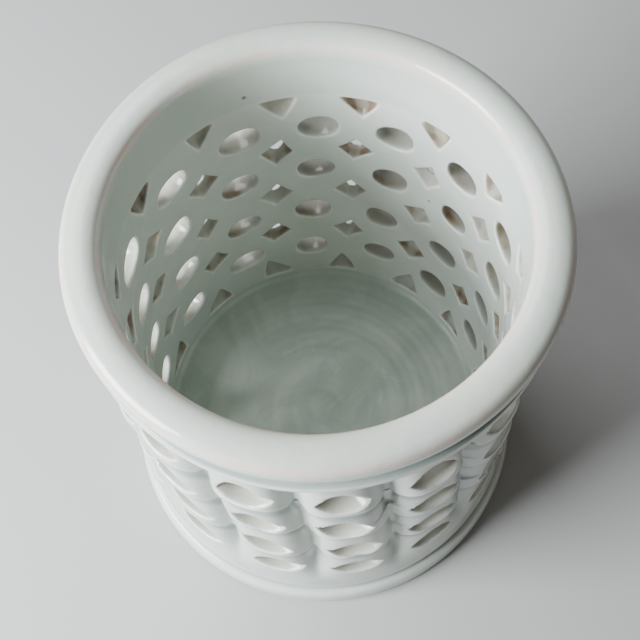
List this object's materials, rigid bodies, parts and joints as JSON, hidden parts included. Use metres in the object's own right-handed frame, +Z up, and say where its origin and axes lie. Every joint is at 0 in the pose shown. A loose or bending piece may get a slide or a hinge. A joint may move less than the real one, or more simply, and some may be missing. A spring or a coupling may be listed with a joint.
{
  "type": "brush holder pot",
  "caption": "Round porcelain brush pot with a broad rolled lip, a thick pierced wall of oval and star openings, and a flared foot.",
  "frame": {"origin": "centre of the resting circle under the foot", "axes": "+Z up along the pot's axis; the pot is round, so X and Y only place the pierced columns"},
  "size_m": [0.1196, 0.1196, 0.128],
  "materials": {
    "pale_glaze": "glossy pale blue-green celadon glaze, thin and pinkish along the lip edges, iron-brown in the deepest cuts",
    "pooled_glaze": "glossy pooled grey-green celadon glaze",
    "foot_glaze": "glossy pale celadon glaze that stops at a bare fired edge underneath"
  },
  "bodies": {
    "root": {"rim_lip": "pale_glaze", "neck_band": "pale_glaze", "wall_tier_1": "pale_glaze", "wall_tier_2": "pale_glaze", "wall_tier_3": "pale_glaze", "wall_tier_4": "pale_glaze", "base_moulding": "pale_glaze", "floor_disc": "pooled_glaze", "foot_ring": "foot_glaze"}
  },
  "joints": []
}
